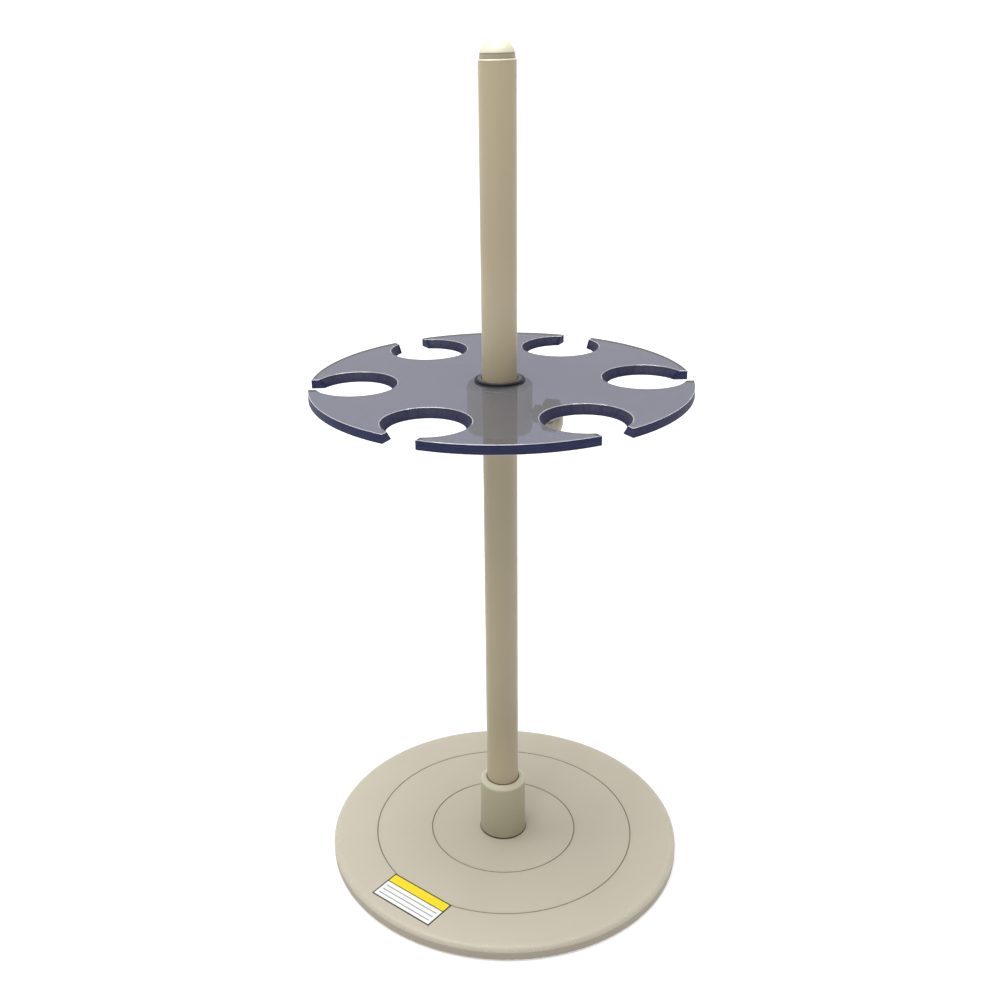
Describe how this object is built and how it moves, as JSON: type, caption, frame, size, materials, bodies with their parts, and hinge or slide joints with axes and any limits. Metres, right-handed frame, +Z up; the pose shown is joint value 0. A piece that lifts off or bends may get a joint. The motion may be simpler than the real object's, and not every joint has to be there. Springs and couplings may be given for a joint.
{
  "type": "rotary pipette stand",
  "caption": "Round weighted base with an upright pole and a height-adjustable turning plate with C-shaped slots open at the rim, clamped by a side knob.",
  "frame": {"origin": "on the bench under the pole's axis, at the level of the feet", "axes": "+Z up along the pole; +X towards the first slot's side, with the clamp knob 20 degrees clockwise of +X seen from above; -Y towards the front, where the label is"},
  "size_m": [0.2465, 0.2464, 0.5473],
  "materials": {
    "base_plastic": "satin, turned top",
    "collar_plastic": "satin",
    "pole_plastic": "satin, drawn tube",
    "cap_plastic": "smooth moulded",
    "plug_plastic": "turned",
    "hub_plastic": "satin, turned",
    "washer_plastic": "waxy",
    "bush_plastic": "smooth",
    "pad_plastic": "smooth",
    "knob_plastic": "moulded, fluted",
    "label_film": "printed film, no lettering",
    "foot_rubber": "matte",
    "ballast_steel": "cut plate",
    "screw_steel": "plated",
    "clip_steel": "blackened spring steel",
    "insert_brass": "turned, knurled",
    "tinted_acrylic": "clear smoke-violet sheet, cut edges"
  },
  "bodies": {
    "stand": {"base_cover": "base_plastic", "ballast_plate": "ballast_steel", "bottom_cover": "base_plastic", "bottom_cover_screws": "screw_steel", "rubber_feet": "foot_rubber", "blank_label": "label_film", "collar": "collar_plastic", "collar_screws": "screw_steel", "pole": "pole_plastic", "pole_foot_plug": "plug_plastic", "plug_insert": "insert_brass", "pole_bolt": "screw_steel", "top_cap": "cap_plastic"},
    "sleeve": {"hub_sleeve": "hub_plastic", "clamp_insert": "insert_brass", "thrust_washer": "washer_plastic", "retaining_clip": "clip_steel"},
    "rack": {"rack_plate": "tinted_acrylic", "rack_bush": "bush_plastic"},
    "pad": {"clamp_pad": "pad_plastic"},
    "knob": {"clamp_stud": "screw_steel", "clamp_knob": "knob_plastic"}
  },
  "joints": [
    {"name": "height_slide", "type": "slide", "parent": "stand", "child": "sleeve", "axis": [0, 0, 1], "range_m": [-0.255, 0.18]},
    {"name": "rack_turn", "type": "hinge", "parent": "sleeve", "child": "rack", "pos_m": [0, 0, 0.345], "axis": [0, 0, 1], "continuous": true},
    {"name": "clamp_travel", "type": "slide", "parent": "sleeve", "child": "pad", "axis": [0.9397, -0.342, 0], "range_m": [0, 0.002]},
    {"name": "knob_turn", "type": "hinge", "parent": "pad", "child": "knob", "pos_m": [0, 0, 0.324], "axis": [0.9397, -0.342, 0], "range_deg": [0, 720.5]}
  ],
  "couplings": [
    {"joint": "knob_turn", "follows": "clamp_travel", "rad_per_m": 6283.2}
  ]
}
